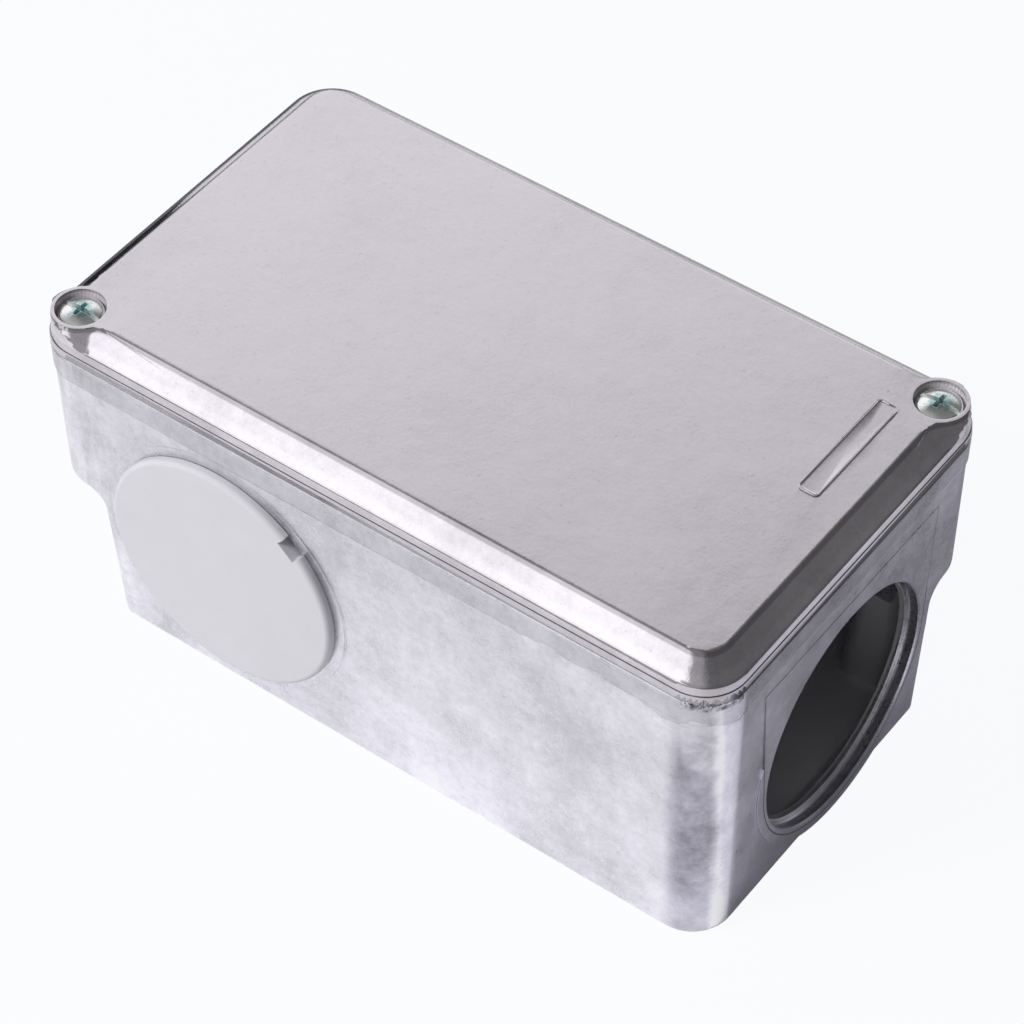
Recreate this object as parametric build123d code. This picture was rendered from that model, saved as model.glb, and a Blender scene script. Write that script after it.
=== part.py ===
from build123d import *
from math import atan2, degrees, sqrt
import os

# Die-cast conduit body: a drafted box with round entries, blanking caps and a screwed cover.
# Millimetres, +Z up, origin in the middle of the flat back, +X towards the open entry.

os.makedirs("parts", exist_ok=True)

# Box
length = 150.0
width = 85.0
box_height = 65.0
corner_radius = 8.5
wall = 3.2
floor_thickness = 2.6
side_draft = 1.0
rim_band = 5.2
rim_step = 0.2
rim_edge_round = 0.5
foot_round = 1.4
inner_radius = 4.0
floor_fillet = 2.0

# Screw corners, diagonally opposite, each with a recess cored out below its boss
screw_inset = 6.85
boss_depth = 13.6
boss_height = 34.0
recess_depth_top = 12.0
recess_depth_foot = 14.4
recess_corner = 5.0
recess_fillet = 3.5
recess_edge_round = 2.2

# Entries
entry_radius = 24.5
entry_mouth_depth = 2.0
entry_groove_depth = 0.4
entry_groove_width = 0.7
entry_land_step = 0.6
entry_depth = 4.0
entry_edge_round = 0.3
collar_width = 3.0
end_entry_foot = 3.1
side_entry_drop = 1.0
side_entry_x = -32.3

# Flat pads that the entry cores leave round each entry
pad_rise = 0.1
pad_margin = 1.1
pad_spread = 1.6
pad_top_drop = 8.7
side_pad_margin = 0.5

# Cover
gasket_thickness = 0.5
gasket_inset = 0.7
flange_height = 3.4
flange_band = 1.6
flange_step = 0.15
flange_draft = 0.2
ledge = 0.45
slope_rise = 3.9
slope_run = 3.95
panel_radius = 5.0
panel_edge_round = 1.0
tower_radius = 5.4
tower_blend = 6.0
tower_drop = 0.7
dish_run = 1.6
cover_wall = 2.8
rib_clearance = 0.5
rib_thickness = 1.6
rib_depth = 3.0

# Nameplate frame, a thin raised line on the panel
plate_length = 26.4
plate_width = 4.3
plate_line = 0.35
plate_rise = 0.25
plate_radius = 1.0
plate_x = 62.0
plate_y = 16.0

# Cover screws
thread_radius = 2.0
thread_clearance = 0.05
shank_clearance = 0.25
screw_length = 20.0
tip_chamfer = 0.5
head_radius = 4.25
head_height = 2.6
head_side = 0.9
slot_width = 1.0
slot_depth = 1.6
cross_width = 1.4
cross_reach = 2.2
cross_depth = 2.0
cross_taper = 12
well_radius = 4.75
well_depth = 3.4
tapped_spare = 3.0

# Blanking caps
cap_overlap = 0.9
cap_thickness = 1.85
cap_edge_round = 1.0
skirt_clearance = 0.1
skirt_thickness = 1.5
skirt_length = 8.0
skirt_slots = 4
skirt_slot_start = 45
skirt_slot_width = 2.4
skirt_lead = 0.6
seat_gap = 0.05
notch_width = 4.4
notch_depth = 1.8
notch_angle = 45.6

# Earth terminal on the floor
earth_x = 18.0
earth_y = 20.0
earth_boss_radius = 4.6
earth_boss_height = 6.0
earth_screw_length = 6.0
earth_washer_radius = 4.4
earth_washer_thickness = 1.0
earth_head_radius = 4.0
earth_head_height = 2.4

# Derived sizes
half_length = length / 2
half_width = width / 2
cover_bottom = box_height + gasket_thickness
flange_top = cover_bottom + flange_height
panel_top = flange_top + slope_rise
ledge_inset = flange_draft + flange_step + ledge
panel_inset = ledge_inset + slope_run
band_bottom = box_height - rim_band
band_inset = side_draft * rim_band / box_height
screw_x = half_length - screw_inset
screw_y = half_width - screw_inset
well_floor = panel_top - well_depth
recess_top = box_height - boss_height
entry_land_radius = entry_radius - entry_land_step
end_entry_height = entry_radius + end_entry_foot
side_entry_height = box_height / 2 - side_entry_drop
pad_top = box_height - pad_top_drop
cap_radius = entry_radius + cap_overlap
skirt_radius = entry_land_radius - skirt_clearance
pad_inset = side_draft * (1 - pad_top / box_height) + rim_step - pad_rise
earth_floor = floor_thickness + earth_boss_height
screw_tip = well_floor - screw_length
screw_hole_radius = thread_radius + thread_clearance
cut_spare = 1.0
tolerance = 0.01
turn = Rot(0, 0, 180)

# Tower radius if its sloping side ran on up to the panel's level
tower_peak = tower_radius - tower_drop * slope_run / slope_rise

# Where the panel's edge leaves its straight run to sweep round a tower
panel_gap = half_length - panel_inset - screw_x
sweep_reach = sqrt((tower_blend + tower_peak) ** 2 - (tower_blend + panel_gap) ** 2)
sweep_angle = degrees(atan2(sweep_reach, tower_blend + panel_gap))
sweep_x = screw_x - sweep_reach
sweep_y = screw_y - sweep_reach


def both_screw_corners(shape):
    return shape + turn * shape


def ring(inset, z, radius=corner_radius):
    """Rounded rectangle parallel to the rim, moved in by inset."""
    return Plane.XY.offset(z) * RectangleRounded(length - 2 * inset, width - 2 * inset, radius)


def prism(lower, upper):
    """Drafted block between two level faces of like shape."""
    return loft(Sketch() + [lower, upper], ruled=True)


def cavity_level(z):
    """Inside outline of the box: a rectangle that steps in round both screw corners."""
    share = z / box_height
    x = half_length - wall - side_draft * (1 - share)
    y = half_width - wall - side_draft * (1 - share)
    step = recess_depth_foot + wall + (boss_depth - recess_depth_foot - wall) * share
    bx = half_length - step
    by = half_width - step
    half = [(-bx, -y), (x, -y), (x, by), (bx, by)]
    points = half + [(-px, -py) for px, py in half]
    corners = FilletPolyline(*points, radius=inner_radius, close=True)
    return Plane.XY.offset(z) * make_face(corners)


def recess_cutter():
    """Block that cores out the outside of the box below one screw boss."""
    spare = corner_radius
    levels = []
    for z, depth in ((-foot_round, recess_depth_foot), (recess_top, recess_depth_top)):
        size = depth + spare
        square = Rectangle(size, size, align=(Align.MIN, Align.MIN))
        square = fillet(square.vertices().sort_by(lambda v: v.X + v.Y)[0], recess_corner)
        levels.append(Pos(half_length - depth, half_width - depth, z) * square)
    block = prism(*levels)
    top_edges = block.faces().sort_by(Axis.Z)[-1].edges()
    inner = [e for e in top_edges if e.center().X + e.center().Y < half_length + half_width - spare]
    return fillet(inner, recess_fillet)


def end_pad():
    """Flat keyhole-shaped pad round an end entry, in the entry's own frame."""
    r = entry_radius + pad_margin
    side = r + pad_spread
    top = pad_top - end_entry_height
    upper = Polygon((-r, 0), (r, 0), (side, top), (-side, top), align=None)
    return extrude(Circle(r) + upper, -entry_depth / 2)


def side_pad():
    return extrude(Circle(cap_radius + side_pad_margin), -entry_depth / 2)


def end_plane():
    origin = (half_length - pad_inset, 0, end_entry_height)
    return Plane(origin=origin, x_dir=(0, 1, 0), z_dir=(1, 0, 0))


def side_plane():
    origin = (side_entry_x, -half_width + pad_inset, side_entry_height)
    return Plane(origin=origin, x_dir=(1, 0, 0), z_dir=(0, -1, 0))


def entry_planes():
    """Outward planes of the entries: open end, blanked end, front side, rear side."""
    front = side_plane()
    rear_origin = (front.origin.X, -front.origin.Y, front.origin.Z)
    rear = Plane(origin=rear_origin, x_dir=(-1, 0, 0), z_dir=(0, 1, 0))
    open_end = end_plane()
    blank_origin = (-open_end.origin.X, 0, open_end.origin.Z)
    blank_end = Plane(origin=blank_origin, x_dir=(0, -1, 0), z_dir=(-1, 0, 0))
    return open_end, blank_end, front, rear


def entry_cutter():
    """Stepped bore: mouth, snap groove and land, with the mouth's edge rounded off."""
    mouth = entry_radius
    lip = entry_edge_round
    groove = entry_radius + entry_groove_depth
    groove_end = entry_mouth_depth + entry_groove_width
    profile = Polyline(
        (0, cut_spare),
        (mouth + lip, cut_spare),
        (mouth + lip, 0),
        (mouth, -lip),
        (mouth, -entry_mouth_depth),
        (groove, -entry_mouth_depth),
        (groove, -groove_end),
        (entry_land_radius, -groove_end),
        (entry_land_radius, -2 * entry_depth),
        (0, -2 * entry_depth),
        close=True,
    )
    section = Plane.XZ * make_face(profile)
    return revolve(section, Axis.Z)


def collar():
    """Thickened ring inside the wall round an entry."""
    ring_face = Circle(entry_radius + collar_width) - Circle(entry_land_radius)
    return extrude(ring_face, -entry_depth)


def edges_on_skin(shape, skin):
    """Edges of a cut shape that still lie on the skin of the uncut one."""
    found = []
    for edge in shape.edges():
        samples = [edge.position_at(share) for share in (0.25, 0.5, 0.75)]
        if all(skin.distance_to(point) < tolerance for point in samples):
            found.append(edge)
    return found


def round_recesses(shell, plain):
    """Rounds the upright and ceiling edges of both recesses where they break the skin."""
    reach_x = half_length - recess_depth_foot - corner_radius / 2
    reach_y = half_width - recess_depth_foot - corner_radius / 2
    chosen = []
    for edge in edges_on_skin(shell, Shell(plain.faces())):
        middle = edge.center()
        at_screw_corner = middle.X * middle.Y > 0 and abs(middle.X) > reach_x and abs(middle.Y) > reach_y
        if at_screw_corner and tolerance < edge.bounding_box().max.Z < recess_top + tolerance:
            chosen.append(edge)
    return fillet(chosen, recess_edge_round)


def casting_outside():
    """Drafted block with the rim band, the two recesses and the rounded foot."""
    side = prism(ring(side_draft, 0), ring(rim_step + band_inset, band_bottom))
    rim = prism(ring(band_inset, band_bottom), ring(0, box_height))
    plain = side + rim
    shell = round_recesses(plain - both_screw_corners(recess_cutter()), plain)
    foot = shell.edges().filter_by(lambda edge: edge.bounding_box().max.Z < tolerance)
    shell = fillet(foot, foot_round)
    return fillet(shell.faces().sort_by(Axis.Z)[-1].edges(), rim_edge_round)


def cavity():
    block = prism(cavity_level(floor_thickness), cavity_level(box_height))
    top_spare = extrude(block.faces().sort_by(Axis.Z)[-1], wall)
    return fillet(block.faces().sort_by(Axis.Z)[0].edges(), floor_fillet) + top_spare


def tapped_hole():
    bottom = screw_tip - tapped_spare
    depth = box_height + cut_spare - bottom
    return Pos(screw_x, screw_y, bottom) * level_cylinder(screw_hole_radius, depth)


def level_cylinder(radius, height):
    return extrude(Circle(radius), height)


def body():
    shell = casting_outside()
    open_end, blank_end, front, rear = entry_planes()
    shell += [open_end * end_pad(), blank_end * end_pad()]
    shell += [front * side_pad(), rear * side_pad()]
    shell -= cavity()
    shell += [place * collar() for place in entry_planes()]
    shell += Pos(earth_x, earth_y, 0) * level_cylinder(earth_boss_radius, earth_floor)
    shell -= [place * entry_cutter() for place in entry_planes()]
    shell -= both_screw_corners(tapped_hole())
    earth_hole = level_cylinder(screw_hole_radius, earth_boss_height + cut_spare)
    return shell - Pos(earth_x, earth_y, floor_thickness) * earth_hole


def raised_level(z, grow, corner):
    """Raised panel's outline, moved out by grow, sweeping out round both screw towers."""
    x = half_length - panel_inset + grow
    y = half_width - panel_inset + grow
    blend = tower_blend - grow
    reach = tower_peak + grow
    half = [
        Edge.make_line((-sweep_x, -y, z), (x - corner, -y, z)),
        CenterArc((x - corner, -y + corner, z), corner, -90, 90),
        Edge.make_line((x, -y + corner, z), (x, sweep_y, z)),
        CenterArc((x + blend, sweep_y, z), blend, 180, -sweep_angle),
        CenterArc((screw_x, screw_y, z), reach, -sweep_angle, 90 + 2 * sweep_angle),
        CenterArc((sweep_x, y + blend, z), blend, sweep_angle - 90, -sweep_angle),
    ]
    return make_face(half + [turn * edge for edge in half])


def tower_dish():
    """Shallow dish that lets the panel dip to the rim of a screw tower."""
    rim = panel_top - tower_drop
    over = panel_top + cut_spare
    edge = tower_radius + dish_run
    profile = Polyline((0, rim), (tower_radius, rim), (edge, panel_top), (edge, over), (0, over), close=True)
    section = Plane.XZ * make_face(profile)
    return Pos(screw_x, screw_y, 0) * revolve(section, Axis.Z)


def raised_panel():
    """Sloped rise of the panel, cut off by the flange's wall where the towers stand out."""
    foot = raised_level(flange_top, slope_run, corner_radius - ledge)
    slope = prism(foot, raised_level(panel_top, 0, panel_radius))
    slope = fillet(panel_edges(slope), panel_edge_round)
    wall = extrude(ring(flange_draft + flange_step, flange_top), slope_rise)
    return (slope & wall) - both_screw_corners(tower_dish())


def mouth_outline(gap, z):
    """Outline that runs inside the box's mouth and its screw bosses, clear of them by gap."""
    return Pos(0, 0, z - box_height) * offset(cavity_level(box_height), -gap)


def locating_rib():
    """Rib on the cover's underside that centres it in the mouth of the box."""
    foot = cover_bottom - rib_depth
    return extrude(mouth_outline(rib_clearance, foot), rib_depth)


def cover_cavity():
    """Hollow under the panel, inside the rib and clear of the solid corners below the towers."""
    gap = rib_clearance + rib_thickness
    top = panel_top - cover_wall
    block = extrude(mouth_outline(gap, cover_bottom - rib_depth), top - cover_bottom + rib_depth)
    return fillet(block.faces().sort_by(Axis.Z)[-1].edges(), floor_fillet)


def nameplate_frame():
    outer = RectangleRounded(plate_width, plate_length, plate_radius)
    inner_width = plate_width - 2 * plate_line
    inner = RectangleRounded(inner_width, plate_length - 2 * plate_line, plate_radius - plate_line)
    return Pos(plate_x, plate_y, panel_top - plate_rise) * extrude(outer - inner, 2 * plate_rise)


def panel_edges(raised):
    """Edges of the panel's top, leaving out the crisp rims of the two towers."""
    axes = (Vector(screw_x, screw_y, panel_top), Vector(-screw_x, -screw_y, panel_top))
    kept = []
    for edge in raised.faces().sort_by(Axis.Z)[-1].edges():
        gaps = [abs((edge.center() - axis).length - tower_peak) for axis in axes]
        if min(gaps) > tolerance:
            kept.append(edge)
    return kept


def cover_flange():
    """Edge band of the cover, stepped in by a hair above the die line."""
    split = cover_bottom + flange_band
    inset = flange_step + flange_draft * flange_band / flange_height
    lower = prism(ring(0, cover_bottom), ring(inset - flange_step, split))
    return lower + prism(ring(inset, split), ring(flange_draft + flange_step, flange_top))


def cover():
    flange = cover_flange()
    casting = flange + raised_panel() + locating_rib() - cover_cavity()
    well = Pos(screw_x, screw_y, well_floor) * level_cylinder(well_radius, well_depth + cut_spare)
    shank_hole = level_cylinder(thread_radius + shank_clearance, panel_top - cover_bottom)
    casting -= both_screw_corners(well)
    casting -= both_screw_corners(Pos(screw_x, screw_y, cover_bottom) * shank_hole)
    return casting + nameplate_frame()


def gasket():
    """Flat seal that covers the rim and both screw bosses."""
    hole = Pos(screw_x, screw_y) * Circle(thread_radius + shank_clearance)
    mouth = Pos(0, 0, -box_height) * cavity_level(box_height)
    flat = ring(gasket_inset, 0) - mouth - hole - turn * hole
    return Pos(0, 0, box_height) * extrude(flat, gasket_thickness)


def pan_head(radius, height):
    """Domed head of a screw standing on the level of its seat."""
    side = Polyline((0, height), (0, 0), (radius, 0), (radius, head_side))
    dome = TangentArc((0, height), (radius, head_side), tangent=(1, 0))
    section = Plane.XZ * make_face(side + dome)
    return revolve(section, Axis.Z)


def drive(radius, height):
    """Slot with a cross recess whose arms taper towards the bottom."""
    slot = Box(2 * radius, slot_width, 2 * slot_depth)
    arm = extrude(Rectangle(2 * cross_reach, cross_width), cross_depth, dir=(0, 0, -1), taper=cross_taper)
    recess = slot + arm + Rot(0, 0, 90) * arm
    return Pos(0, 0, height) * recess


def screw(radius, height, shank):
    rod = level_cylinder(thread_radius, shank)
    rod = chamfer(rod.edges().sort_by(Axis.Z)[0], tip_chamfer)
    head = pan_head(radius, height) - drive(radius, height)
    return head + Pos(0, 0, -shank) * rod


def cover_screw():
    return Pos(screw_x, screw_y, well_floor) * screw(head_radius, head_height, screw_length)


def cap():
    """Blanking cap in its entry's frame: the pad's face is level zero and +Z points outward."""
    disc = Pos(0, 0, seat_gap) * level_cylinder(cap_radius, cap_thickness)
    disc = fillet(disc.edges().sort_by(Axis.Z)[-1], cap_edge_round)
    tube = Circle(skirt_radius) - Circle(skirt_radius - skirt_thickness)
    skirt = Pos(0, 0, -skirt_length) * extrude(tube, skirt_length + seat_gap)
    tip = skirt.faces().sort_by(Axis.Z)[0].edges().sort_by(SortBy.LENGTH)[-1]
    skirt = chamfer(tip, skirt_lead)
    free = skirt_length - cap_thickness
    slit = Box(skirt_slot_width, 2 * skirt_thickness, free, align=(Align.CENTER, Align.CENTER, Align.MIN))
    slits = PolarLocations(skirt_radius, skirt_slots, skirt_slot_start) * (Rot(0, 0, 90) * slit)
    skirt -= [Pos(0, 0, -skirt_length) * slot for slot in slits]
    notch_height = 2 * (cap_thickness + cut_spare)
    notch = Pos(cap_radius, 0, seat_gap) * Box(2 * notch_depth, notch_width, notch_height)
    return disc + skirt - Rot(0, 0, notch_angle) * notch


def earth_washer():
    flat = Circle(earth_washer_radius) - Circle(thread_radius + shank_clearance)
    return Pos(earth_x, earth_y, earth_floor) * extrude(flat, earth_washer_thickness)


def earth_screw():
    seat = earth_floor + earth_washer_thickness
    return Pos(earth_x, earth_y, seat) * screw(earth_head_radius, earth_head_height, earth_screw_length)


open_end, blank_end, front_side, rear_side = entry_planes()
pieces = {
    "body": body(),
    "cover": cover(),
    "gasket": gasket(),
    "cover_screw_right": cover_screw(),
    "cover_screw_left": turn * cover_screw(),
    "cap_front": front_side * cap(),
    "cap_rear": rear_side * cap(),
    "cap_end": blank_end * cap(),
    "earth_washer": earth_washer(),
    "earth_screw": earth_screw(),
}

for name, piece in pieces.items():
    export_step(piece, f"parts/{name}.step")
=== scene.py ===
import bpy, bmesh, math, random
from mathutils import Matrix, Vector, geometry


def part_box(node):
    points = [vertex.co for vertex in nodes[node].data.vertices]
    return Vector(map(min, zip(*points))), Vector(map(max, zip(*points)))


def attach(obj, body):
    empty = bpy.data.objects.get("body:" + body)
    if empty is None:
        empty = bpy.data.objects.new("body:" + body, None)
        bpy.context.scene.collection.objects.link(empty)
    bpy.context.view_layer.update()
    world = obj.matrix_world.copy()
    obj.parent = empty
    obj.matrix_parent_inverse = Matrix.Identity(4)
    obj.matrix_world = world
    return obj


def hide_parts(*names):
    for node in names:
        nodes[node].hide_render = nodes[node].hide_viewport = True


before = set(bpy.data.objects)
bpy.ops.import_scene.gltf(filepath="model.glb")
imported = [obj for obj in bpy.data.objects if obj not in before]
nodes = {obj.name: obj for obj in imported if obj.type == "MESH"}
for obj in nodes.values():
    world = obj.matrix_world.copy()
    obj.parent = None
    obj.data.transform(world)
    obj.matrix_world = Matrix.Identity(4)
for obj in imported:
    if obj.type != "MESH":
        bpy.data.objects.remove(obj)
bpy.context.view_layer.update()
mm = 0.001


def srgb(code):  # sRGB hex to linear
    parts = [int(code[i:i + 2], 16) / 255 for i in (1, 3, 5)]
    linear = [c / 12.92 if c <= 0.04045 else ((c + 0.055) / 1.055) ** 2.4 for c in parts]
    return (*linear, 1.0)


coolWhite = (0.972, 0.98, 1.0, 1.0)  # the white of floor and sky that the camera sees


def addNode(tree, kind, settings=None, inputs=None):  # a socket given as an input is linked
    made = tree.nodes.new(kind)
    for name, value in (settings or {}).items():
        setattr(made, name, value)
    for name, value in (inputs or {}).items():
        if isinstance(value, bpy.types.NodeSocket):
            tree.links.new(value, made.inputs[name])
        else:
            made.inputs[name].default_value = value
    return made


class Sum:  # a value in a node tree that adds and multiplies like a number
    def __init__(self, tree, socket):
        self.tree, self.socket = tree, socket

    def math(self, operation, other=0.0):
        other = other.socket if isinstance(other, Sum) else other
        return Sum(self.tree, addNode(self.tree, "ShaderNodeMath", {"operation": operation},
                                      {0: self.socket, 1: other}).outputs[0])

    def __add__(self, other):
        return self.math("ADD", other)

    def __sub__(self, other):
        return self.math("SUBTRACT", other)

    def __mul__(self, other):
        return self.math("MULTIPLY", other)

    def __abs__(self):
        return self.math("ABSOLUTE")

    def above(self, level):
        return self.math("GREATER_THAN", level)

    def below(self, level):
        return self.math("LESS_THAN", level)

    def least(self, other):
        return self.math("MINIMUM", other)

    def most(self, other):
        return self.math("MAXIMUM", other)

    def ease(self, low, high, toLow=0.0, toHigh=1.0):  # smooth step from one value to another
        return Sum(self.tree, addNode(self.tree, "ShaderNodeMapRange", {"interpolation_type": "SMOOTHSTEP"},
                                      {"Value": self.socket, "From Min": low, "From Max": high,
                                       "To Min": toLow, "To Max": toHigh}).outputs[0])


def startMaterial(name):  # material, its tree and shader, and Object coordinates in mm
    material = bpy.data.materials.new(name)
    material.use_nodes = True
    tree = material.node_tree
    place = addNode(tree, "ShaderNodeTexCoord").outputs["Object"]
    scaled = addNode(tree, "ShaderNodeMapping", None, {"Vector": place, "Scale": (1 / mm, 1 / mm, 1 / mm)})
    return material, tree, tree.nodes["Principled BSDF"], scaled.outputs[0]


def noise(tree, inMm, size, detail=2.0, roughness=0.55, stretch=(1, 1, 1), seed=0.0):
    # size is the real width of the largest patches, in mm
    scale = tuple(1 / (size * s) for s in stretch)
    moved = addNode(tree, "ShaderNodeMapping", None,
                    {"Vector": inMm, "Location": (seed, seed, seed), "Scale": scale})
    made = addNode(tree, "ShaderNodeTexNoise", None,
                   {"Vector": moved.outputs[0], "Scale": 1.0, "Detail": detail, "Roughness": roughness})
    return Sum(tree, made.outputs["Fac"]) - 0.5                 # evenly above and below nought


def surface(tree, shader, relief, depth, edgeRadius, level=None):  # relief in mm on top of rounded edges
    radius = edgeRadius * mm
    radius = radius.socket if isinstance(radius, Sum) else radius
    eased = addNode(tree, "ShaderNodeBevel", {"samples": 8}, {"Radius": radius}).outputs[0]
    if level:  # where this share is 1 the face is shaded as if it lay level
        toWorld = {"vector_type": "NORMAL", "convert_from": "OBJECT", "convert_to": "WORLD"}
        up = addNode(tree, "ShaderNodeVectorTransform", toWorld, {0: (0, 0, 1)}).outputs[0]
        laid = addNode(tree, "ShaderNodeMix", {"data_type": "VECTOR"}, {0: level.socket, 4: eased, 5: up})
        unit = addNode(tree, "ShaderNodeVectorMath", {"operation": "NORMALIZE"}, {0: laid.outputs[1]})
        eased = unit.outputs[0]
    bump = addNode(tree, "ShaderNodeBump", None,
                   {"Height": relief.socket, "Distance": depth * mm, "Normal": eased})
    tree.links.new(bump.outputs[0], shader.inputs["Normal"])


# Outline of the casting, for marks that follow its rim, corners and die line
casting = {
    "halfLength": 75.0, "halfWidth": 42.5, "corner": 8.5,
    "dieLine": 59.8, "seam": 65.4, "slopeFoot": 68.9, "coverSplit": 67.1, "seatLevel": 69.3, "panel": 72.8,
    "insideReach": 4.6, "draft": 0.023, "roofLevel": 70.1,
    "recessTop": 32.0, "recessX": 59.0, "recessY": 26.5,
    "wellReach": 5.0, "screwX": 68.15, "screwY": 35.65,
    "towerRim": 72.1, "towerRadius": 5.4, "dipReach": 8.8,
    "entryLevel": 27.6, "padRadius": 25.6, "padSpread": 0.0557, "padTop": 56.3,
    "endWall": 74.04, "endLean": 0.012, "endFace": 74.74, "flankTop": 62.0,
}


def fromScrew(x, y):  # mm from the axis of the nearer cover screw, in a material
    offX, offY = abs(x) - casting["screwX"], abs(y) - casting["screwY"]
    return (offX * offX + offY * offY).math("SQRT")


# Die-cast aluminium, tumbled: satin grey with cloudy flow marks at every scale,
# with smudges and painted dark reflection on the near upright corner
tumbled = {
    "cloud": 36.0,                         # largest cloud in mm
    "cloudOnBox": 1.5, "cloudOnCover": 1.1,  # share of brightness
    "streak": 5.0, "streakShare": 0.16,    # upright flow streaks on the walls
    "speck": 0.9, "speckShare": 0.12,      # dark specks, as coarse as they need to be to show
    "grit": 0.8, "wave": 7.0,              # relief of the tumbling grit and of the flow, mm across
    "blotch": 9.0, "smear": 2.2,           # smudges and painted dark reflection on the near corner, coarse and fine
    "edgeRadius": 0.30, "padEdgeRadius": 0.10, "footRadius": 0.4, "endSoftness": 1.4,
    "shadeAndSmudgeTint": "#CBC7DC", "shadeAndSmudgeTintShare": 0.6,  # purple-grey of the painted shade on the end walls, and of the smudges and painted dark reflection on the near corner
    "satinShare": 0.5,                     # how much the clouds change the roughness
    "inside": "#D8D7DB", "insideRoughness": 0.5, "insideMetal": 0.75,
}


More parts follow.
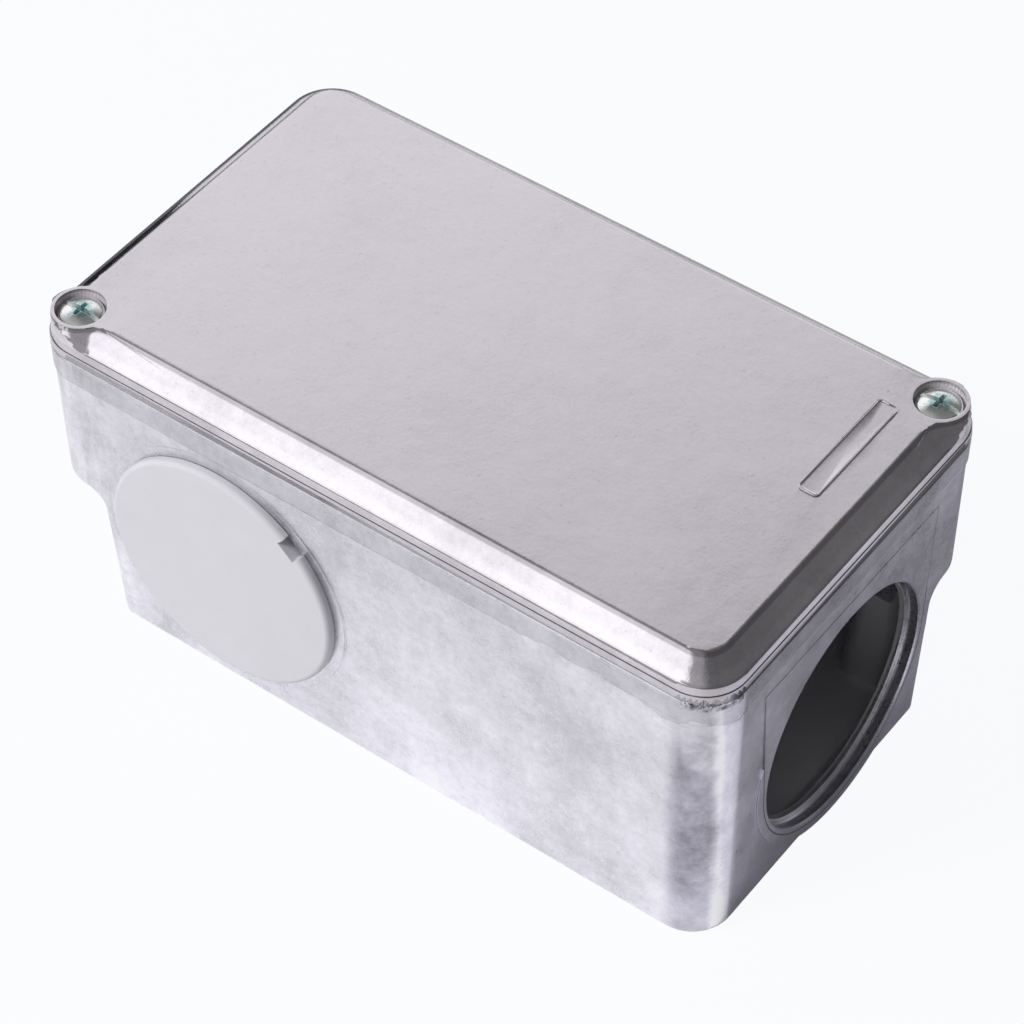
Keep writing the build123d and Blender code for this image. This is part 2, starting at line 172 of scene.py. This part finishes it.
def castAluminium(name, colour, roughness, onCover):
    material, tree, shader, inMm = startMaterial(name)
    s, c = tumbled, casting
    x, y, z = (Sum(tree, out) for out in addNode(tree, "ShaderNodeSeparateXYZ", None, {0: inMm}).outputs)
    cloud = noise(tree, inMm, s["cloud"], 7.0, 0.86, seed=3.1)
    streak = noise(tree, inMm, s["streak"], 4.0, 0.6, stretch=(1, 1, 5), seed=8.7)
    speck = noise(tree, inMm, s["speck"], 2.0, seed=1.3)
    grit = noise(tree, inMm, s["grit"], 2.0, seed=5.9)
    wave = noise(tree, inMm, s["wave"], 3.0, seed=2.2)
    tone = cloud * s["cloudOnCover" if onCover else "cloudOnBox"] + 1.0
    tone = tone * (speck.ease(0.12, 0.26, 0.0, -s["speckShare"]) + 1.0)
    seam = abs(z - c["seam"]).ease(1.5, 0.6) * abs(x).ease(74.1, 74.4)  # painted shade in the seam at the two ends
    tone = tone * (seam * -0.4 + 1.0)
    pastX, pastY = abs(x) - (c["halfLength"] - c["corner"]), abs(y) - (c["halfWidth"] - c["corner"])
    overX, overY = pastX.most(0.0), pastY.most(0.0)
    reach = (overX * overX + overY * overY).math("SQRT")  # how far out in the rounded outline
    relief = grit * 0.010 + wave * 0.045
    atEnd = abs(x).ease(73.3, 73.9)
    level = None
    radius = abs(x).ease(73.0, 73.6, s["edgeRadius"], s["padEdgeRadius"])
    fromAxis = fromScrew(x, y)
    atTower = (x * y).above(0.0)                                # the two corners that hold screws
    if onCover:
        dipped = fromAxis.ease(c["towerRadius"], c["dipReach"], c["towerRim"], c["panel"])
        brow = dipped * atTower + (atTower * -c["panel"] + c["panel"])
        drop = brow - z                                         # how far below the panel's edge
        line = drop.ease(0.03, 0.12) * drop.ease(0.80, 0.50)
        tone = tone * (line * -0.36 + 1.0)                      # painted dark reflection along the panel's edge
        split = abs(z - c["coverSplit"] - wave * 0.25)
        tone = tone * split.ease(0.0, 0.18, 0.80, 1.0)
        tone = tone * z.ease(68.8, 69.0, 0.92, 1.0)             # the flange is darker than the slope
        # painted highlight along the slope's foot
        tone = tone * (z.ease(70.6, 69.6) * z.above(69.0) * 0.10 + 0.97)
        # painted light on the upper flange at the two ends
        tone = tone * (atEnd * z.ease(67.2, 67.5) * z.below(c["slopeFoot"] - 0.1) * 0.15 + 1.0)
        level = fromAxis.ease(c["dipReach"] + 0.8, c["dipReach"]) * drop.below(0.05) * atTower * 0.95
        brushed = noise(tree, inMm, 0.7, 3.0, 0.7, stretch=(1, 1, 6), seed=12.0)
        polished = z.ease(69.0, 69.4) * z.ease(72.4, 72.0) * (pastX.least(pastY)).ease(0.0, 1.0)
        relief = relief + polished * brushed * 0.03             # the near corners' slope is streaky
        radius = abs(z - c["slopeFoot"]).ease(0.5, 0.3, s["edgeRadius"], s["footRadius"])
        radius = radius + x.ease(-69.2, -70.2) * z.above(72.3) * s["endSoftness"]
        # painted shade: the flange at the two ends takes the purple-grey shade tint
        shadeAndSmudgeMask = atEnd * z.below(c["slopeFoot"]) * 0.6
    else:
        blotch = noise(tree, inMm, s["blotch"], 3.0, 0.6, seed=9.4)
        smear = noise(tree, inMm, s["smear"], 3.0, 0.7, seed=7.3)
        cornerSmudgeAndDarkReflection = (pastX + blotch * 3.0).ease(-2.5, 1.5) * (pastX + blotch * 2.0).ease(7.6, 5.4)
        cornerSmudgeAndDarkReflection = cornerSmudgeAndDarkReflection * y.below(-20.0) * x.above(0.0)
        cornerSmudgeAndDarkReflection = cornerSmudgeAndDarkReflection * (z + blotch * 30.0).ease(58.0, 44.0, 0.25, 1.0)
        cornerSmudgeAndDarkReflection = cornerSmudgeAndDarkReflection * (z + blotch * 20.0).ease(2.0, 16.0, 0.45, 1.0)
        tone = tone * (cornerSmudgeAndDarkReflection * (blotch * 1.1 + smear * 0.5 - 0.34) + 1.0)  # painted dark reflection on the near corner, mottled with smudges
        # painted highlight: a pale band on the end walls beside the front corners; painted shade darkens
        # the end walls
        pale = pastX.ease(5.6, 7.0) * y.ease(-33.6, -34.6)
        tone = tone * (pale * 0.38 + 1.0) * (atEnd * -0.10 + 1.0)
        # painted light: the end walls lighter towards the back, the whole box lighter towards the +X end
        tone = tone * (atEnd * y.ease(-5.0, 30.0) * 0.28 + 1.0) * x.ease(-20.0, 60.0, 0.95, 1.05)
        shadeAndSmudgeMask = (cornerSmudgeAndDarkReflection + atEnd).least(1.0)
        above = (z - c["entryLevel"]).most(0.0)
        below = (z - c["entryLevel"]).least(0.0)
        padEdge = (y * y + below * below).math("SQRT") - above * c["padSpread"] - c["padRadius"]
        padLine = abs(padEdge).ease(0.20, 0.08) * z.below(c["padTop"]) * abs(x).above(71.5)
        tone = tone * (padLine * z.ease(46.0, 36.0, -0.60, -0.72) + 1.0)  # painted shade: a thin dark line along the pad's edge
        flank = (abs(x) - z * c["endLean"]).above(c["endWall"]) * abs(x).below(c["endFace"])
        flank = flank * padEdge.above(0.8) * z.below(c["flankTop"])
        tone = tone * (flank * -0.5 + 1.0)                      # painted shade on the pad's low flank, dimming its reflection to the wall's tone
        tone = tone * (streak * s["streakShare"] + 1.0)
        # painted reflection: the walls lighter towards the foot, darker towards the rim
        tone = tone * z.ease(62.0, 10.0, 0.90, 1.02)
        far = x.ease(-54.0, -64.0)
        tone = tone * (far * (streak * 1.1 + 0.08) + 1.0)
        wobble = noise(tree, inMm, 11.0, 3.0, seed=6.6) * (x.ease(5.0, 45.0) * y.below(-30.0) * 9.0)
        drop = z - c["dieLine"] - wobble
        tone = tone * drop.ease(-0.5, 0.35, 1.0, 0.84)          # the rim band above the die line is darker than the wall
        tone = tone * z.ease(64.2, 64.6, 1.0, 1.12)             # and its edge gets a painted highlight
        tone = tone * abs(drop).ease(0.0, 0.28, 0.86, 1.0)
        # painted shade low on the end pads, towards the foot
        tone = tone * (abs(x).ease(73.8, 74.2) * z.ease(12.0, 3.0) * -0.2 + 1.0)
        relief = relief + abs(drop).ease(0.0, 0.45, 0.05, 0.0)
        nearCorner = x.above(67.5) * y.below(-34.5)
        flash = nearCorner * z.ease(63.2, 63.9) * z.ease(65.2, 64.9)
        bead = noise(tree, inMm, 1.5, 2.0, seed=4.4)
        relief = relief + flash * bead * 0.9
        # the flash is real relief; its bright and dark spots are painted highlights and shade following
        # that relief
        tone = tone * (flash * (bead * 2.4 - 0.18) + 1.0)
    # the purple-grey tint paints shade on the end walls and dark reflection on the near corner
    plain, shadeAndSmudgeTint = (addNode(tree, "ShaderNodeVectorMath", {"operation": "SCALE"},
                             {0: srgb(code)[:3], "Scale": tone.socket}).outputs[0]
                     for code in (colour, s["shadeAndSmudgeTint"]))
    outside = addNode(tree, "ShaderNodeMix", {"data_type": "RGBA"},
                      {0: (shadeAndSmudgeMask * s["shadeAndSmudgeTintShare"]).socket, 6: plain, 7: shadeAndSmudgeTint}).outputs[2]
    recess = abs(x).above(c["recessX"]) * abs(y).above(c["recessY"]) * z.below(c["recessTop"]) * atTower
    well = fromAxis.below(c["wellReach"]) * z.above(c["seatLevel"]) * atTower
    inside = (reach - z * c["draft"]).below(c["insideReach"])   # the walls lean in towards the foot
    inside = inside * z.above(1.0) * z.below(c["roofLevel"]) * (recess + well).below(0.5)
    skin = addNode(tree, "ShaderNodeMix", {"data_type": "RGBA"},
                   {0: inside.socket, 6: outside, 7: srgb(s["inside"])})
    tree.links.new(skin.outputs[2], shader.inputs["Base Color"])
    satin = cloud * s["satinShare"] + roughness
    if onCover:  # the slope and its edges are rubbed brighter than the panel, the screw wells are as cast
        satin = satin * drop.ease(0.15, 0.02, 0.5, 1.0) + well * z.below(72.0) * 0.25
    rough = addNode(tree, "ShaderNodeMix", None,
                    {0: inside.socket, 2: satin.socket, 3: s["insideRoughness"]})
    tree.links.new(rough.outputs[0], shader.inputs["Roughness"])
    dull = (inside * (1.0 - s["insideMetal"])).most(well * z.below(71.8) * 0.5)
    tree.links.new((dull * -1.0 + 1.0).socket, shader.inputs["Metallic"])
    surface(tree, shader, relief, 1.0, radius, level)
    return material


# Polyethylene, moulded: soft light grey with the faint grain of the mould
moulded = {"colour": "#CCCAD0", "roughness": 0.48, "ior": 1.51, "grain": 0.5, "grainDepth": 0.01,
           "cloud": 14.0, "cloudShare": 0.09, "edgeRadius": 0.25}


def mouldedPlastic():
    material, tree, shader, inMm = startMaterial("mouldedPolyethylene")
    s = moulded
    tone = noise(tree, inMm, s["cloud"], 5.0, 0.8) * s["cloudShare"] + 1.0
    skin = addNode(tree, "ShaderNodeVectorMath", {"operation": "SCALE"},
                   {0: srgb(s["colour"])[:3], "Scale": tone.socket})
    tree.links.new(skin.outputs[0], shader.inputs["Base Color"])
    surface(tree, shader, noise(tree, inMm, s["grain"]), s["grainDepth"], s["edgeRadius"])
    shader.inputs["Roughness"].default_value = s["roughness"]
    shader.inputs["IOR"].default_value = s["ior"]
    return material


# Zinc plate, blue passivated: bright, with a blue-green tint that gathers in the recess of the head
plated = {"colour": "#E6E8E6", "tint": "#A4C4C5", "roughness": 0.20, "patch": 1.1,
          "recessReach": 2.6, "recessFloor": 69.9, "crown": 72.0, "ball": 9.5}


def zincPlate():
    material, tree, shader, inMm = startMaterial("zincPlate")
    s = plated
    x, y, z = (Sum(tree, out) for out in addNode(tree, "ShaderNodeSeparateXYZ", None, {0: inMm}).outputs)
    patch = noise(tree, inMm, s["patch"], 3.0)
    away = fromScrew(x, y)
    middle = (away + patch * 5.0).ease(s["recessReach"], s["recessReach"] - 1.6)
    skin = addNode(tree, "ShaderNodeMix", {"data_type": "RGBA"},
                   {0: middle.socket, 6: srgb(s["colour"]), 7: srgb(s["tint"])})
    tree.links.new(skin.outputs[2], shader.inputs["Base Color"])
    dome = away * away * (-0.5 / s["ball"]) + s["crown"]
    sunk = (dome - z).ease(0.05, 0.20) * away.below(s["recessReach"] + 1.1)  # walls of the recess
    sunk = sunk * z.above(s["recessFloor"])
    tree.links.new((sunk * -0.5 + 1.0).socket, shader.inputs["Metallic"])
    surface(tree, shader, patch, 0.03, 0.10)
    shader.inputs["Roughness"].default_value = s["roughness"]
    return material


def plainFinish(name, colour, roughness, metallic, grain, depth):
    material, tree, shader, inMm = startMaterial(name)
    speckle = noise(tree, inMm, grain, 3.0)
    skin = addNode(tree, "ShaderNodeVectorMath", {"operation": "SCALE"},
                   {0: srgb(colour)[:3], "Scale": (speckle * 0.3 + 1.0).socket})
    tree.links.new(skin.outputs[0], shader.inputs["Base Color"])
    surface(tree, shader, speckle, depth, 0.08)
    shader.inputs["Metallic"].default_value = metallic
    shader.inputs["Roughness"].default_value = roughness
    return material


def dress(material, *names):
    for name in names:
        nodes[name].data.materials.clear()
        nodes[name].data.materials.append(material)


boxSkin = castAluminium("tumbledCastingBox", "#E7E5EC", 0.30, False)
coverSkin = castAluminium("tumbledCastingCover", "#D9D3D9", 0.30, True)
plateSkin = zincPlate()
brassSkin = plainFinish("turnedBrass", "#C9A75E", 0.28, 1.0, 0.6, 0.006)
dress(boxSkin, "body")
dress(coverSkin, "cover")
dress(mouldedPlastic(), "cap_front", "cap_rear", "cap_end")
dress(plainFinish("blackRubber", "#1B1B1D", 0.65, 0.0, 0.8, 0.02), "gasket")
dress(brassSkin, "earth_washer")
print("materials done")


# Cover: a merged copy of the casting, its dips at the screw towers melted wide and soft
coverForm = {"reach": 10.0, "grain": 0.55, "passes": 9, "guard": 71.6, "dip": 0.7, "plate": 72.81,
             "rim": 5.45, "strokes": 6, "sharp": 30.0}


def fromTower(point):  # mm from the nearer screw axis
    places = [Vector((side * casting["screwX"], side * casting["screwY"])) for side in (1, -1)]
    return min((point.xy / mm - place).length for place in places)


def nearTower(edge, reach):
    a, b = (v.co for v in edge.verts)
    for side in (1, -1):
        axis = Vector((side * casting["screwX"], side * casting["screwY"], 0)) * mm
        foot, share = geometry.intersect_point_line(axis, Vector((a.x, a.y, 0)), Vector((b.x, b.y, 0)))
        nearest = a.lerp(b, min(max(share, 0.0), 1.0))
        if (nearest.xy - axis.xy).length < reach * mm:
            return True
    return False


def makeSoftCover():
    s, c = coverForm, casting
    bm = bmesh.new()
    bm.from_mesh(nodes["cover"].data)
    bmesh.ops.remove_doubles(bm, verts=bm.verts, dist=1e-6)
    for _ in range(s["passes"]):
        long = [e for e in bm.edges if e.calc_length() > s["grain"] * mm
                and min(v.co.z for v in e.verts) > s["guard"] * mm and nearTower(e, s["reach"])]
        bmesh.ops.subdivide_edges(bm, edges=long, cuts=1)
        bmesh.ops.triangulate(bm, faces=[f for f in bm.faces if len(f.verts) > 3])
    top = [v for v in bm.verts if v.co.z > s["guard"] * mm and s["rim"] < fromTower(v.co) < c["dipReach"]]
    soft = [v for v in top if v.co.z < s["plate"] * mm]
    for v in top:
        share = (fromTower(v.co) - c["towerRadius"]) / (c["dipReach"] - c["towerRadius"])
        lowered = s["dip"] * (1 - share * share * (3 - 2 * share))
        level = c["panel"] - lowered
        v.co.z = v.co.z - lowered * mm if v.co.z > (c["panel"] - 0.01) * mm else min(v.co.z, level * mm)
    for _ in range(s["strokes"]):
        bmesh.ops.smooth_vert(bm, verts=soft, factor=0.5, use_axis_x=True, use_axis_y=True, use_axis_z=True)
    bm.normal_update()
    for face in bm.faces:
        face.smooth = abs(face.normal.z) < 0.9999               # level faces stay flat
    mesh = meshFrom(bm, "cover_cast")
    mesh.set_sharp_from_angle(angle=math.radians(s["sharp"]))
    mesh.materials.append(coverSkin)
    cover = bpy.data.objects.new("cover_cast", mesh)
    bpy.context.scene.collection.objects.link(cover)
    weighted = cover.modifiers.new("weighted", "WEIGHTED_NORMAL")
    weighted.keep_sharp = True
    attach(cover, "lid")
    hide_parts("cover")
    print("cover faces", len(mesh.polygons))


# Screws: the node's own sizes with a real thread on the shank
screwForm = {"coverHead": 2.6, "earthHead": 2.4, "side": 1.6, "edge": 0.35, "domeSteps": 10, "steps": 64,
             "core": 1.62, "crest": 1.98, "pitch": 0.7, "tip": 0.5, "neck": 0.4,
             "ridgeShare": 0.42, "bite": 0.1, "crestHalf": 0.05, "turnSteps": 32,
             "slotReach": 2.2, "slotWidth": 0.9, "slotDepth": 1.4,
             "crossWidth": 1.3, "crossReach": 2.0, "crossDepth": 2.0, "crossTaper": 0.3}


def spunSolid(points, steps):  # a profile of radius and height turned once about the axis
    bm = bmesh.new()
    corners = [bm.verts.new((r * mm, 0, h * mm)) for r, h in points]
    for a, b in zip(corners, corners[1:]):
        bm.edges.new((a, b))
    bmesh.ops.spin(bm, geom=bm.verts[:] + bm.edges[:], cent=(0, 0, 0), axis=(0, 0, 1), angle=math.tau,
                   steps=steps, use_merge=True)
    bmesh.ops.remove_doubles(bm, verts=bm.verts, dist=1e-6)
    bmesh.ops.recalc_face_normals(bm, faces=bm.faces)
    return bm


def meshFrom(bm, name):
    mesh = bpy.data.meshes.new(name)
    bm.to_mesh(mesh)
    bm.free()
    return mesh


def driveCutter(top, radius):  # slot and tapered cross, as one loose set of blocks
    s = screwForm
    bm = bmesh.new()
    blocks = [(s["slotReach"] * radius, s["slotWidth"], s["slotDepth"], 0.0, 1.0),
              (2 * s["crossReach"], s["crossWidth"], s["crossDepth"], 0.0, s["crossTaper"]),
              (2 * s["crossReach"], s["crossWidth"], s["crossDepth"], math.pi / 2, s["crossTaper"])]
    for long, wide, deep, turn, taper in blocks:
        made = bmesh.ops.create_cube(bm, size=1.0)["verts"]
        foot = [v for v in made if v.co.z < 0]
        bmesh.ops.scale(bm, vec=(long * mm, wide * mm, 2 * deep * mm), verts=made)
        bmesh.ops.scale(bm, vec=(1 - (1 - taper) * wide / long, taper, 1.0), verts=foot)
        bmesh.ops.rotate(bm, cent=(0, 0, 0), matrix=Matrix.Rotation(turn, 3, "Z"), verts=made)
        bmesh.ops.translate(bm, vec=(0, 0, top * mm), verts=made)
    return meshFrom(bm, "drive")


def cutDrive(head, top, radius):  # takes the drive out of the head
    blank = bpy.data.objects.new("headBlank", head)
    tool = bpy.data.objects.new("driveTool", driveCutter(top, radius))
    for made in (blank, tool):
        bpy.context.scene.collection.objects.link(made)
    cut = blank.modifiers.new("drive", "BOOLEAN")
    cut.object = tool
    cut.operation = "DIFFERENCE"
    cut.solver = "EXACT"
    cut.use_self = True
    mesh = bpy.data.meshes.new_from_object(blank.evaluated_get(bpy.context.evaluated_depsgraph_get()))
    for made in (blank, tool):
        bpy.data.objects.remove(made)
    return mesh


def addThread(bm, bottom, top):  # one closed ridge wound round the core
    s = screwForm
    half = s["pitch"] * s["ridgeShare"]
    start = bottom + half
    root = s["core"] - s["bite"]
    turns = (top - bottom - 2 * half) / s["pitch"]
    outline = ((root, -half), (s["crest"], -s["crestHalf"]), (s["crest"], s["crestHalf"]), (root, half))
    face = bm.faces.new([bm.verts.new((r * mm, 0, (start + h) * mm)) for r, h in outline])
    steps = int(turns * s["turnSteps"])
    bmesh.ops.spin(bm, geom=[face], cent=(0, 0, 0), axis=(0, 0, 1), angle=math.tau * turns, steps=steps,
                   dvec=(0, 0, s["pitch"] * turns / steps * mm), use_merge=False)


def makeScrew(node, body, material, headHeight):
    s = screwForm
    low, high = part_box(node)
    axis = Vector(((low.x + high.x) / 2, (low.y + high.y) / 2, 0))
    radius = (high.x - low.x) / 2 / mm
    bottom = low.z / mm
    seat = (high.z / mm) - headHeight
    rise = headHeight - s["side"]
    ball = (radius ** 2 + rise ** 2) / (2 * rise)  # radius of the dome
    sweep = math.asin(radius / ball)
    top = seat + headHeight
    turns = [sweep * k / s["domeSteps"] for k in range(s["domeSteps"] + 1)]
    dome = [(ball * math.sin(turn), top - ball * (1 - math.cos(turn))) for turn in turns]
    dome[0] = (0, top)
    shank = [(radius, seat), (s["core"], seat), (s["core"], bottom + s["tip"]),
             (s["core"] - s["tip"], bottom), (0, bottom)]
    spun = spunSolid(dome + shank, s["steps"])
    brow, rim = (seat + s["side"] - 0.05) * mm, (radius - 0.01) * mm  # just inside the head's upper edge
    brim = [e for e in spun.edges if all(v.co.z > brow and v.co.xy.length > rim for v in e.verts)]
    bmesh.ops.bevel(spun, geom=brim, offset=s["edge"] * mm, segments=4, affect="EDGES", profile=0.5)
    cut = cutDrive(meshFrom(spun, "blank"), top, radius)
    bm = bmesh.new()
    bm.from_mesh(cut)
    addThread(bm, bottom, seat - s["neck"])
    bmesh.ops.recalc_face_normals(bm, faces=bm.faces)
    bmesh.ops.translate(bm, vec=axis, verts=bm.verts)
    mesh = meshFrom(bm, node + "_threaded")
    mesh.materials.append(material)
    screw = bpy.data.objects.new(node + "_threaded", mesh)
    bpy.context.scene.collection.objects.link(screw)
    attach(screw, body)
    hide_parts(node)


makeSoftCover()
print("cover done")

for side in ("right", "left"):
    makeScrew("cover_screw_" + side, "screw_" + side, plateSkin, screwForm["coverHead"])
makeScrew("earth_screw", "terminal_screw", brassSkin, screwForm["earthHead"])
print("screws done")


# Beads of metal that squeezed out of the die at the near corner of the rim
flash = {"cornerX": 66.5, "cornerY": -34.0, "reach": 8.28, "level": 64.5, "start": 8, "end": 80,
         "count": 15, "size": 0.30, "detail": 3, "seed": 7,
         "spread": (0.2, 0.8), "sizes": (0.55, 1.1), "shape": (1.0, 1.35, 0.8), "drift": (-0.25, 0.15)}


def makeFlash():
    s = flash
    chance = random.Random(s["seed"])
    bm = bmesh.new()
    for k in range(s["count"]):
        along = k + chance.uniform(*s["spread"])
        turn = math.radians(s["start"] + (s["end"] - s["start"]) * along / s["count"])
        size = s["size"] * chance.uniform(*s["sizes"])
        made = bmesh.ops.create_icosphere(bm, subdivisions=s["detail"], radius=size * mm)["verts"]
        bmesh.ops.scale(bm, vec=s["shape"], verts=made)
        bmesh.ops.rotate(bm, cent=(0, 0, 0), matrix=Matrix.Rotation(turn, 3, "Z"), verts=made)
        place = (s["cornerX"] + s["reach"] * math.sin(turn), s["cornerY"] - s["reach"] * math.cos(turn),
                 s["level"] + chance.uniform(*s["drift"]))
        bmesh.ops.translate(bm, vec=Vector(place) * mm, verts=made)
    for face in bm.faces:
        face.smooth = True
    beads = bpy.data.objects.new("rim_flash", meshFrom(bm, "rim_flash"))
    beads.data.materials.append(boxSkin)
    bpy.context.scene.collection.objects.link(beads)
    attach(beads, "box")


makeFlash()
print("flash done")


# Floor: a wide pale sheet that keeps the box's shadow
floorSheet = {"half": 0.40, "colour": "#F8F9FB", "lift": 0.96}


def makeFloor():
    s = floorSheet
    bm = bmesh.new()
    bmesh.ops.create_grid(bm, x_segments=1, y_segments=1, size=s["half"])
    floor = bpy.data.objects.new("floor", meshFrom(bm, "floor"))
    bpy.context.scene.collection.objects.link(floor)
    material = bpy.data.materials.new("paleBackdrop")
    material.use_nodes = True
    tree = material.node_tree
    shader = tree.nodes["Principled BSDF"]
    shader.inputs["Base Color"].default_value = srgb(s["colour"])
    shader.inputs["Roughness"].default_value = 0.9
    shader.inputs["Specular IOR Level"].default_value = 0.1
    glow = addNode(tree, "ShaderNodeEmission", None, {"Color": coolWhite, "Strength": 1.0})
    seen = Sum(tree, addNode(tree, "ShaderNodeLightPath").outputs["Is Camera Ray"])
    mixed = addNode(tree, "ShaderNodeMixShader", None,
                    {0: (seen * s["lift"]).socket, 1: shader.outputs[0], 2: glow.outputs[0]})
    tree.links.new(mixed.outputs[0], tree.nodes["Material Output"].inputs["Surface"])
    floor.data.materials.append(material)


makeFloor()


# Black flag that stands behind the left end and shows only in the cover's slope there
flag = {"x": -150.0, "y": 25.0, "z": 34.0, "width": 62.0, "height": 60.0, "colour": "#202024"}


def makeFlag():
    s = flag
    bm = bmesh.new()
    bmesh.ops.create_grid(bm, x_segments=1, y_segments=1, size=0.5)
    bmesh.ops.rotate(bm, cent=(0, 0, 0), matrix=Matrix.Rotation(math.pi / 2, 3, "Y"), verts=bm.verts)
    bmesh.ops.scale(bm, vec=(1, s["width"] * mm, s["height"] * mm), verts=bm.verts)
    bmesh.ops.translate(bm, vec=Vector((s["x"], s["y"], s["z"])) * mm, verts=bm.verts)
    board = bpy.data.objects.new("flag", meshFrom(bm, "flag"))
    board.data.materials.append(plainFinish("blackFelt", s["colour"], 0.9, 0.0, 2.0, 0.01))
    bpy.context.scene.collection.objects.link(board)
    board.visible_camera = False
    board.visible_diffuse = False
    board.visible_shadow = False


makeFlag()


# Studio: white all round for the eye, with boards that only reflections see
studio = {
    "ambient": 0.24, "level": 0.90,
    "boards": [  # direction, cosine where it starts, cosine where it is full, brightness
        ((-0.75, 0.50, 0.40), 0.75, 0.97, 1.24),    # pale wall behind
        ((0.0, 0.0, 1.0), 0.75, 0.85, 0.07),        # black ceiling
        ((0.766, 0.0, 0.642), 0.15, 0.45, 0.15),    # black board on the right
        ((-0.40, -0.73, 0.55), 0.50, 0.72, 0.42),   # grey frame of the soft box on the left
        ((-0.40, -0.73, 0.55), 0.89, 0.965, 1.42),  # the soft box itself
        ((-0.70, 0.62, 0.10), 0.93, 0.98, 0.30),    # dark strip low behind the left end
    ],
}


def makeWorld():
    world = bpy.data.worlds.new("studio")
    bpy.context.scene.world = world
    world.use_nodes = True
    tree = world.node_tree
    tree.nodes.clear()
    way = addNode(tree, "ShaderNodeTexCoord").outputs["Generated"]
    level = studio["level"]
    for direction, start, full, brightness in studio["boards"]:
        near = Sum(tree, addNode(tree, "ShaderNodeVectorMath", {"operation": "DOT_PRODUCT"},
                                 {0: way, 1: Vector(direction).normalized()}).outputs["Value"])
        share = near.ease(start, full)
        level = addNode(tree, "ShaderNodeMix", None, {0: share.socket, 2: level, 3: brightness}).outputs[0]
    path = addNode(tree, "ShaderNodeLightPath").outputs
    rays = ("Is Camera Ray", "Is Glossy Ray", "Is Transmission Ray")
    eye, glossy, through = (Sum(tree, path[k]) for k in rays)
    level = addNode(tree, "ShaderNodeMix", None, {0: eye.socket, 2: level, 3: 1.0}).outputs[0]
    direct = eye.most(glossy).most(through)
    seen = addNode(tree, "ShaderNodeBackground", None, {"Color": coolWhite, "Strength": level})
    soft = addNode(tree, "ShaderNodeBackground", None,
                   {"Color": (1.0, 1.0, 1.0, 1.0), "Strength": studio["ambient"]})
    mixed = addNode(tree, "ShaderNodeMixShader", None,
                    {0: direct.socket, 1: soft.outputs[0], 2: seen.outputs[0]})
    output = addNode(tree, "ShaderNodeOutputWorld")
    tree.links.new(mixed.outputs[0], output.inputs["Surface"])


makeWorld()

keyLight = {"direction": (-0.36, -0.60, 0.72), "distance": 1.2, "size": 0.40, "power": 12.3}


def makeKeyLight():
    s = keyLight
    lamp = bpy.data.lights.new("softBox", "AREA")
    lamp.shape = "SQUARE"
    lamp.size = s["size"]
    lamp.energy = s["power"]
    light = bpy.data.objects.new("softBox", lamp)
    bpy.context.scene.collection.objects.link(light)
    way = Vector(s["direction"]).normalized()
    light.location = way * s["distance"]
    light.rotation_euler = way.to_track_quat("Z", "Y").to_euler()
    light.visible_glossy = False  # its reflection is the soft box in the studio


makeKeyLight()

camera = {"azimuth": 36.926, "elevation": 47.363, "roll": -0.47, "distance": 0.68448,
          "target": (0.00206, -0.00098, 0.03275), "lens": 130.63}


def makeCamera():
    s = camera
    turn, tilt, roll = (math.radians(s[k]) for k in ("azimuth", "elevation", "roll"))
    forward = Vector((-math.sin(turn) * math.cos(tilt), math.cos(turn) * math.cos(tilt), -math.sin(tilt)))
    right = Vector((math.cos(turn), math.sin(turn), 0))
    up = right.cross(forward)
    side = right * math.cos(roll) + up * math.sin(roll)
    top = up * math.cos(roll) - right * math.sin(roll)
    data = bpy.data.cameras.new("camera")
    data.lens = s["lens"]
    data.sensor_width = 36.0
    view = bpy.data.objects.new("camera", data)
    bpy.context.scene.collection.objects.link(view)
    place = Vector(s["target"]) - forward * s["distance"]
    view.matrix_world = Matrix.Translation(place) @ Matrix((side, top, -forward)).transposed().to_4x4()
    bpy.context.scene.camera = view


makeCamera()
bpy.context.scene.view_settings.view_transform = "Standard"
print("stage done")
